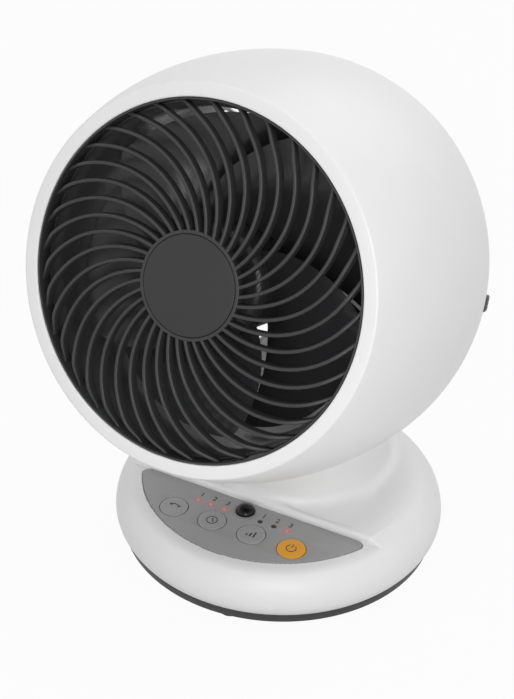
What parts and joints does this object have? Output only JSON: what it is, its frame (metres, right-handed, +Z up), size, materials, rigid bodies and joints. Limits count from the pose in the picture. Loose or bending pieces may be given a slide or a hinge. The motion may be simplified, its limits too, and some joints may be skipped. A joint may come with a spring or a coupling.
{
  "type": "air circulator fan",
  "caption": "Desktop air circulator: a ball-shaped head with a swirled front grille that tilts and swivels in the cup of a round base with a control panel.",
  "frame": {"origin": "middle of the footprint of the whole fan on the table, at the feet's undersides", "axes": "+Z up, -Y the side that the grille and the control panel face, +X to the right as seen from that side"},
  "size_m": [0.223, 0.234, 0.3036],
  "materials": {
    "white_plastic": "fine satin moulded plastic, white",
    "dark_plastic": "fine satin moulded plastic, dark grey",
    "black_plastic": "satin moulded plastic, black",
    "smoked_plastic": "glossy smoked plastic",
    "panel_plastic": "satin plastic, mid grey",
    "button_plastic": "satin plastic, light grey",
    "power_plastic": "satin plastic, amber",
    "lens_black": "polished black lens",
    "led_lit": "red indicator, lit",
    "led_dark": "red indicator, off",
    "board_green": "circuit board",
    "gear_plastic": "natural acetal",
    "foot_rubber": "matt rubber",
    "steel": "zinc-plated steel",
    "motor_steel": "pressed steel can"
  },
  "bodies": {
    "base": {"base_shell": "white_plastic", "base_pan": "dark_plastic", "panel_plate": "panel_plastic", "remote_eye": "lens_black", "control_board": "board_green", "ballast_plate": "steel", "power_inlet": "black_plastic", "bearing_ring": "gear_plastic", "swivel_motor": "motor_steel", "light_pipe_1": "led_lit", "light_pipe_2": "led_lit", "light_pipe_3": "led_lit", "light_pipe_4": "led_dark", "light_pipe_5": "led_dark", "light_pipe_6": "led_lit", "foot_front": "foot_rubber", "foot_right": "foot_rubber", "foot_back": "foot_rubber", "foot_left": "foot_rubber", "pan_screw_1": "steel", "pan_screw_2": "steel", "pan_screw_3": "steel", "pan_screw_4": "steel"},
    "turret": {"turret": "gear_plastic", "turret_washer": "steel", "turret_screw": "steel", "tilt_shoe": "gear_plastic", "shoe_screw": "steel"},
    "pinion": {"swivel_pinion": "gear_plastic"},
    "head": {"front_shell": "white_plastic", "rear_guard": "white_plastic", "front_grille": "dark_plastic", "grille_cap": "dark_plastic", "air_duct": "black_plastic", "motor_frame": "black_plastic", "motor_can": "motor_steel", "frame_screw_1": "steel", "frame_screw_2": "steel", "frame_screw_3": "steel", "frame_screw_4": "steel", "motor_screw_1": "steel", "motor_screw_2": "steel", "motor_screw_3": "steel"},
    "rotor": {"impeller": "smoked_plastic", "motor_shaft": "steel", "impeller_nut": "black_plastic"},
    "swing_key": {"swing_button": "button_plastic"},
    "timer_key": {"timer_button": "button_plastic"},
    "speed_key": {"speed_button": "button_plastic"},
    "power_key": {"power_button": "power_plastic"},
    "latch_left": {"guard_latch_left": "dark_plastic"},
    "latch_right": {"guard_latch_right": "dark_plastic"}
  },
  "joints": [
    {"name": "head_swivel", "type": "hinge", "parent": "base", "child": "turret", "pos_m": [0, 0.00678, 0.1826], "axis": [0, 0, 1], "range_deg": [-30, 30]},
    {"name": "pinion_spin", "type": "hinge", "parent": "base", "child": "pinion", "pos_m": [0, 0.03678, 0.026], "axis": [0, 0, 1], "range_deg": [-120, 120]},
    {"name": "head_tilt", "type": "hinge", "parent": "turret", "child": "head", "pos_m": [0, 0.00678, 0.1826], "axis": [-1, 0, 0], "range_deg": [-18, 42]},
    {"name": "fan_spin", "type": "hinge", "parent": "head", "child": "rotor", "pos_m": [0, 0.00678, 0.1826], "axis": [0, -0.9511, 0.309], "continuous": true},
    {"name": "swing_press", "type": "slide", "parent": "base", "child": "swing_key", "axis": [0, 0, -1], "range_m": [0, 0.0008], "stiffness_N_per_m": 600},
    {"name": "timer_press", "type": "slide", "parent": "base", "child": "timer_key", "axis": [0, 0, -1], "range_m": [0, 0.0008], "stiffness_N_per_m": 600},
    {"name": "speed_press", "type": "slide", "parent": "base", "child": "speed_key", "axis": [0, 0, -1], "range_m": [0, 0.0008], "stiffness_N_per_m": 600},
    {"name": "power_press", "type": "slide", "parent": "base", "child": "power_key", "axis": [0, 0, -1], "range_m": [0, 0.0008], "stiffness_N_per_m": 600},
    {"name": "latch_left_press", "type": "slide", "parent": "head", "child": "latch_left", "axis": [1, 0, 0], "range_m": [0, 0.0015], "stiffness_N_per_m": 600},
    {"name": "latch_right_press", "type": "slide", "parent": "head", "child": "latch_right", "axis": [-1, 0, 0], "range_m": [0, 0.0015], "stiffness_N_per_m": 600}
  ],
  "couplings": [
    {"joint": "pinion_spin", "follows": "head_swivel", "ratio": -4}
  ]
}
